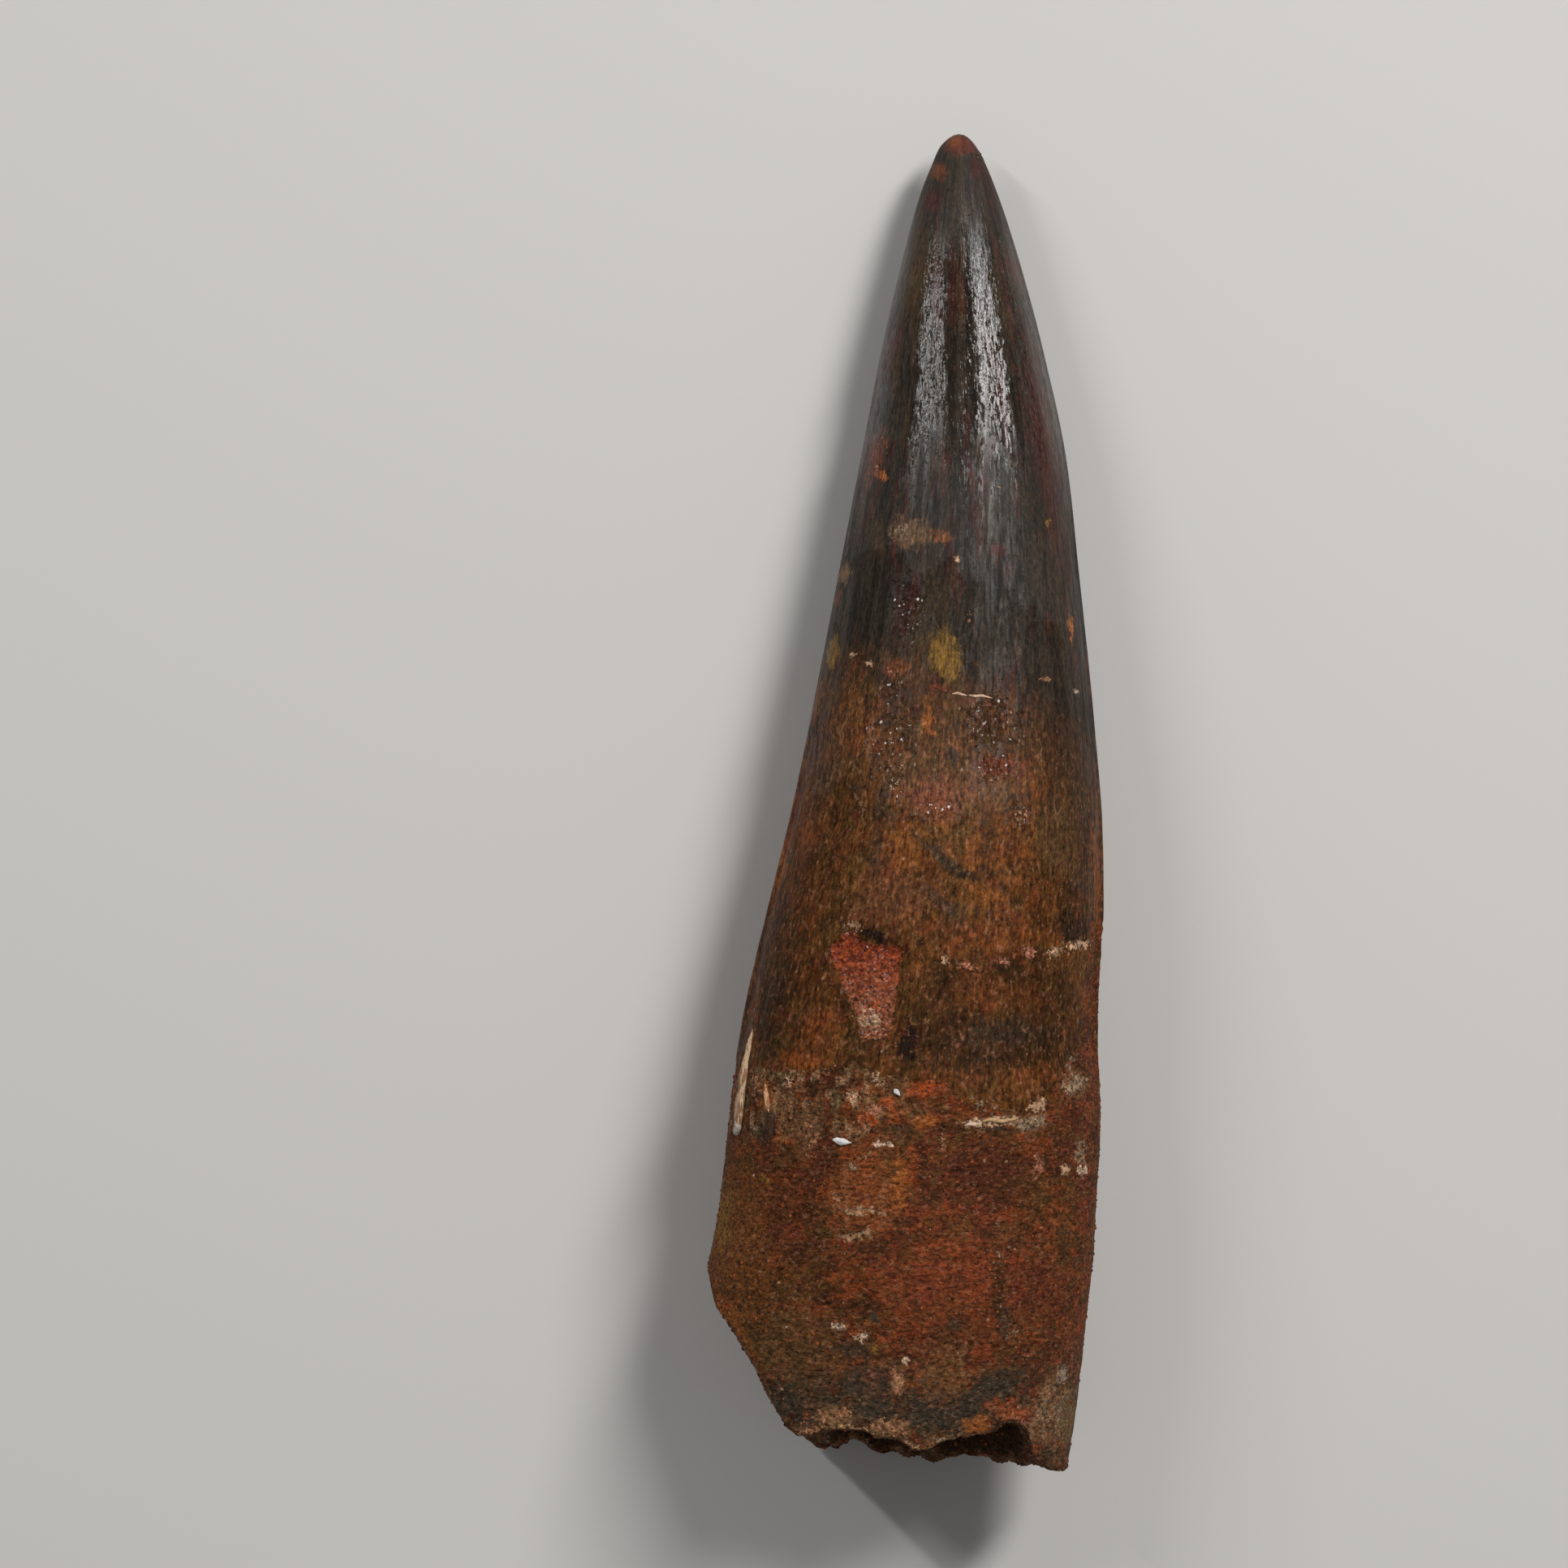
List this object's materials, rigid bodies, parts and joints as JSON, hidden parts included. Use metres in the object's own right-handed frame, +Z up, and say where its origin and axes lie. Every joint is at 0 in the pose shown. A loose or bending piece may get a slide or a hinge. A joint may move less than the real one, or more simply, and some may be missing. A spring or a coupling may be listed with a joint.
{
  "type": "fossil spinosaurus tooth",
  "caption": "Long conical fossil tooth lying on its side, with dark glossy enamel, two cutting edges and a sandy brown root broken open at its hollow base.",
  "frame": {"origin": "middle of the footprint, on the surface that the tooth lies on", "axes": "+Y towards the tip, +X towards the convex cutting edge, +Z up out of the side that is seen"},
  "size_m": [0.0292, 0.099, 0.0222],
  "materials": {
    "fossil": "glossy near-black enamel towards the tip, satin brown enamel below it and matte red-brown sandy root"
  },
  "bodies": {
    "root": {"tooth": "fossil"}
  },
  "joints": []
}
